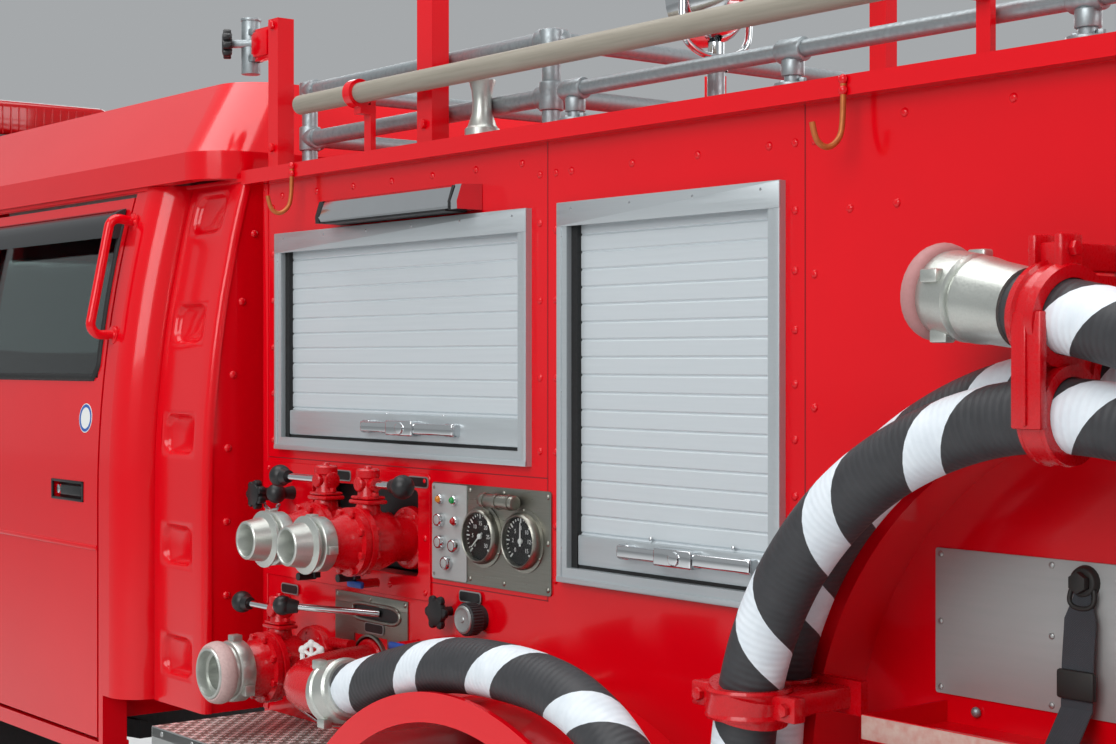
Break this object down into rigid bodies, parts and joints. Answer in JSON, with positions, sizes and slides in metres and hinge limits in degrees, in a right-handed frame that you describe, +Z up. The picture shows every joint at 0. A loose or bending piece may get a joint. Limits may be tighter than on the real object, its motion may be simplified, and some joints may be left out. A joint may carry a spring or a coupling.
{
  "type": "fire truck",
  "caption": "Light crew-cab fire pumper with roller shutters, side pump panels and coiled suction hoses, on a forward-control chassis.",
  "frame": {"origin": "on the ground, below the centre of the truck's box", "axes": "+X forward along the truck, +Y to its left, +Z up"},
  "size_m": [5.75, 2.1, 2.45],
  "materials": {
    "red_paint": "gloss enamel",
    "black_paint": "satin chassis black",
    "tyre": "moulded rubber",
    "wheel_paint": "silver enamel",
    "steel": "forged and painted",
    "glass": "tinted",
    "anodised": "satin anodised",
    "stainless": "brushed",
    "cast_aluminium": "cast and turned",
    "chrome": "polished",
    "hose_rubber": "ribbed rubber",
    "checker_plate": "diamond pattern",
    "black_plastic": "moulded",
    "seat_cloth": "woven",
    "webbing": "woven strap",
    "zinc": "galvanised",
    "weathered_wood": "weathered",
    "lamp_lens": "clear lens",
    "red_lens": "red lens"
  },
  "bodies": {
    "chassis": {"body_shell": "red_paint", "bumper": "black_plastic", "cab_front": "red_paint", "cab_roof": "red_paint", "cab_shell": "red_paint", "chassis_frame": "black_paint", "couplings": "cast_aluminium", "dashboard": "black_plastic", "engine": "steel", "flood_lights": "chrome", "front_axle": "steel", "grab_handles": "red_paint", "grille": "black_plastic", "headlamps": "lamp_lens", "hose_clamps": "red_paint", "hose_niches": "red_paint", "hose_straps": "webbing", "leaf_springs": "black_paint", "light_bar": "red_lens", "mirrors": "black_plastic", "mud_flaps": "black_plastic", "panel_controls": "black_plastic", "panel_plates": "stainless", "pump_block": "steel", "pump_valves": "red_paint", "rear_axle": "steel", "rear_fenders": "red_paint", "rear_step": "checker_plate", "roof_lamps": "lamp_lens", "roof_pole": "weathered_wood", "roof_posts": "red_paint", "roof_rails": "zinc", "seats": "seat_cloth", "shutter_curtains": "anodised", "shutter_frames": "anodised", "shutter_handles": "chrome", "side_decks": "checker_plate", "suction_hoses": "hose_rubber", "tail_lamps": "red_lens", "valve_levers": "chrome", "windscreen": "glass"},
    "door_front_left": {"door_front_left": "red_paint", "glass_front_left": "glass"},
    "door_front_right": {"door_front_right": "red_paint", "glass_front_right": "glass"},
    "door_rear_left": {"door_rear_left": "red_paint", "glass_rear_left": "glass"},
    "door_rear_right": {"door_rear_right": "red_paint", "glass_rear_right": "glass"},
    "knuckle_left": {"knuckle_left": "steel"},
    "knuckle_right": {"knuckle_right": "steel"},
    "wheel_front_left": {"tyre_front_left": "tyre", "rim_front_left": "wheel_paint"},
    "wheel_front_right": {"tyre_front_right": "tyre", "rim_front_right": "wheel_paint"},
    "wheel_rear_left": {"tyre_rear_left": "tyre", "rim_rear_left": "wheel_paint"},
    "wheel_rear_right": {"tyre_rear_right": "tyre", "rim_rear_right": "wheel_paint"}
  },
  "joints": [
    {"name": "door_front_left_hinge", "type": "hinge", "parent": "chassis", "child": "door_front_left", "pos_m": [2.45, 0.85, 1.2], "axis": [0, 0, -1], "range_deg": [0, 65]},
    {"name": "door_front_right_hinge", "type": "hinge", "parent": "chassis", "child": "door_front_right", "pos_m": [2.45, -0.85, 1.2], "axis": [0, 0, 1], "range_deg": [0, 65]},
    {"name": "door_rear_left_hinge", "type": "hinge", "parent": "chassis", "child": "door_rear_left", "pos_m": [1.37, 0.85, 1.2], "axis": [0, 0, -1], "range_deg": [0, 65]},
    {"name": "door_rear_right_hinge", "type": "hinge", "parent": "chassis", "child": "door_rear_right", "pos_m": [1.37, -0.85, 1.2], "axis": [0, 0, 1], "range_deg": [0, 65]},
    {"name": "steer_left", "type": "hinge", "parent": "chassis", "child": "knuckle_left", "pos_m": [1.775, 0.6, 0.375], "axis": [0, 0, 1], "range_deg": [-35, 35]},
    {"name": "spin_front_left", "type": "hinge", "parent": "knuckle_left", "child": "wheel_front_left", "pos_m": [1.775, 0.725, 0.375], "axis": [0, 1, 0], "continuous": true},
    {"name": "spin_rear_left", "type": "hinge", "parent": "chassis", "child": "wheel_rear_left", "pos_m": [-1.02, 0.6475, 0.375], "axis": [0, 1, 0], "continuous": true},
    {"name": "steer_right", "type": "hinge", "parent": "chassis", "child": "knuckle_right", "pos_m": [1.775, -0.6, 0.375], "axis": [0, 0, 1], "range_deg": [-35, 35]},
    {"name": "spin_front_right", "type": "hinge", "parent": "knuckle_right", "child": "wheel_front_right", "pos_m": [1.775, -0.725, 0.375], "axis": [0, 1, 0], "continuous": true},
    {"name": "spin_rear_right", "type": "hinge", "parent": "chassis", "child": "wheel_rear_right", "pos_m": [-1.02, -0.6475, 0.375], "axis": [0, 1, 0], "continuous": true}
  ],
  "couplings": [
    {"joint": "steer_right", "follows": "steer_left", "ratio": 1}
  ]
}
